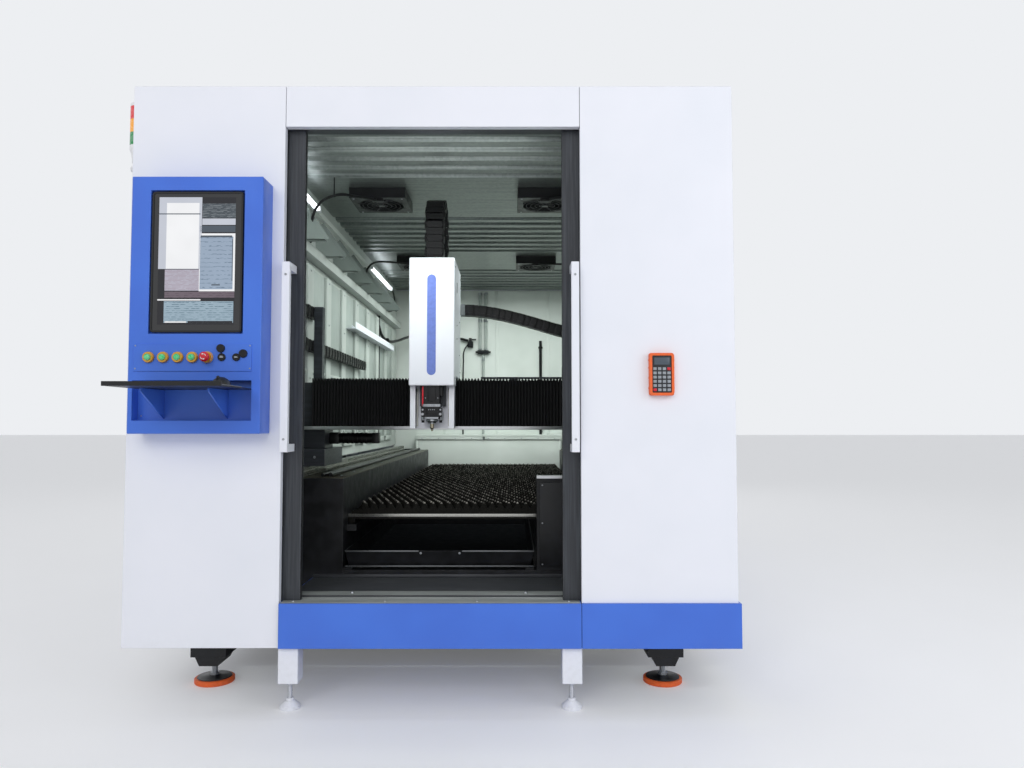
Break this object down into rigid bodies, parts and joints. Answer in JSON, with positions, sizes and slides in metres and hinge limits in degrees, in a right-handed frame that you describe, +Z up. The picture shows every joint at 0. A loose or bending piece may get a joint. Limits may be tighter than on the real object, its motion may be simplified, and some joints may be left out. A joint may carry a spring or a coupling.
{
  "type": "fiber laser cutting machine",
  "caption": "Enclosed flat-bed fibre laser cutter: sliding doors, bridge gantry with bellows, slat table, scrap drawer and a front console.",
  "frame": {"origin": "on the floor, under the middle of the whole machine's box", "axes": "+Z up, +Y from the doorway to the back, +X to the right as seen from the front"},
  "size_m": [2.482, 4.8702, 2.47],
  "materials": {
    "white_paint": "satin powder coat",
    "blue_paint": "satin powder coat",
    "grey_paint": "satin paint, inside the cabin",
    "black_paint": "semi-matt paint",
    "graphite_steel": "dark satin paint",
    "bright_steel": "ground steel",
    "slat_steel": "laser-cut mild steel with scale",
    "bellows_cloth": "coated black cloth",
    "chain_plastic": "moulded nylon",
    "green_plastic": "moulded lens",
    "red_plastic": "moulded",
    "screen_glass": "gloss glass over a dark panel",
    "orange_rubber": "matt moulded",
    "window_glass": "tinted laser-safe pane",
    "black_plastic": "moulded"
  },
  "bodies": {
    "machine": {"front_panel_left": "white_paint", "front_panel_right": "white_paint", "header_panel": "white_paint", "side_wall_left": "white_paint", "side_wall_right": "white_paint", "rear_wall": "white_paint", "leg_front_left": "white_paint", "leg_front_right": "white_paint", "leg_rear_left": "white_paint", "leg_rear_right": "white_paint", "signal_lamp": "white_paint", "skirt_right": "blue_paint", "front_sill": "blue_paint", "console_box": "blue_paint", "button_plate": "blue_paint", "roof": "grey_paint", "inner_wall_left": "grey_paint", "extraction_duct": "grey_paint", "bed_frame": "black_paint", "junction_box": "black_paint", "keyboard_shelf": "black_paint", "laser_source": "graphite_steel", "bed_foot_front_left": "graphite_steel", "bed_foot_front_right": "graphite_steel", "bed_foot_rear_left": "graphite_steel", "bed_foot_rear_right": "graphite_steel", "door_track": "graphite_steel", "guide_rail_left": "bright_steel", "guide_rail_right": "bright_steel", "slat_table": "slat_steel", "chain_along": "chain_plastic", "monitor": "screen_glass", "hand_control": "orange_rubber", "keyboard": "black_plastic"},
    "gantry": {"gantry_beam": "graphite_steel", "bellows_left": "bellows_cloth", "bellows_right": "bellows_cloth", "chain_across": "chain_plastic"},
    "head": {"head_cover": "white_paint", "head_plate": "white_paint", "chain_arch": "chain_plastic"},
    "z_axis": {"z_slide": "graphite_steel", "cutting_head": "black_paint", "nozzle": "bright_steel"},
    "drawer": {"scrap_drawer": "black_paint"},
    "door_left": {"door_leaf_left": "graphite_steel", "door_window_left": "window_glass", "door_handle_left": "white_paint"},
    "door_right": {"door_leaf_right": "graphite_steel", "door_window_right": "window_glass", "door_handle_right": "white_paint"},
    "green_button_1": {"green_button_1": "green_plastic"},
    "green_button_2": {"green_button_2": "green_plastic"},
    "green_button_3": {"green_button_3": "green_plastic"},
    "green_button_4": {"green_button_4": "green_plastic"},
    "emergency_stop": {"emergency_stop": "red_plastic"},
    "fan_left_front": {"fan_rotor_left_front": "black_paint"},
    "fan_left_back": {"fan_rotor_left_back": "black_paint"},
    "fan_right_front": {"fan_rotor_right_front": "black_paint"},
    "fan_right_back": {"fan_rotor_right_back": "black_paint"}
  },
  "joints": [
    {"name": "gantry_travel", "type": "slide", "parent": "machine", "child": "gantry", "axis": [0, 1, 0], "range_m": [-0.05, 2.9], "deforming": ["chain_along"]},
    {"name": "head_travel", "type": "slide", "parent": "gantry", "child": "head", "axis": [1, 0, 0], "range_m": [-0.32, 0.78], "deforming": ["bellows_left", "bellows_right", "chain_across"]},
    {"name": "nozzle_height", "type": "slide", "parent": "head", "child": "z_axis", "axis": [0, 0, 1], "range_m": [-0.32, 0]},
    {"name": "drawer_slide", "type": "slide", "parent": "machine", "child": "drawer", "axis": [0, -1, 0], "range_m": [0, 0.48]},
    {"name": "door_left_slide", "type": "slide", "parent": "machine", "child": "door_left", "axis": [1, 0, 0], "range_m": [0, 0.519]},
    {"name": "door_right_slide", "type": "slide", "parent": "machine", "child": "door_right", "axis": [-1, 0, 0], "range_m": [0, 0.519]},
    {"name": "green_button_1_press", "type": "slide", "parent": "machine", "child": "green_button_1", "axis": [0, 1, 0], "range_m": [0, 0.004], "stiffness_N_per_m": 400},
    {"name": "green_button_2_press", "type": "slide", "parent": "machine", "child": "green_button_2", "axis": [0, 1, 0], "range_m": [0, 0.004], "stiffness_N_per_m": 400},
    {"name": "green_button_3_press", "type": "slide", "parent": "machine", "child": "green_button_3", "axis": [0, 1, 0], "range_m": [0, 0.004], "stiffness_N_per_m": 400},
    {"name": "green_button_4_press", "type": "slide", "parent": "machine", "child": "green_button_4", "axis": [0, 1, 0], "range_m": [0, 0.004], "stiffness_N_per_m": 400},
    {"name": "emergency_stop_press", "type": "slide", "parent": "machine", "child": "emergency_stop", "axis": [0, 1, 0], "range_m": [0, 0.005]},
    {"name": "fan_left_front_spin", "type": "hinge", "parent": "machine", "child": "fan_left_front", "pos_m": [-0.389, -0.75485, 2.375], "axis": [0, 0, 1], "continuous": true},
    {"name": "fan_left_back_spin", "type": "hinge", "parent": "machine", "child": "fan_left_back", "pos_m": [-0.389, 0.98515, 2.375], "axis": [0, 0, 1], "continuous": true},
    {"name": "fan_right_front_spin", "type": "hinge", "parent": "machine", "child": "fan_right_front", "pos_m": [0.531, -0.75485, 2.375], "axis": [0, 0, 1], "continuous": true},
    {"name": "fan_right_back_spin", "type": "hinge", "parent": "machine", "child": "fan_right_back", "pos_m": [0.531, 0.98515, 2.375], "axis": [0, 0, 1], "continuous": true}
  ]
}
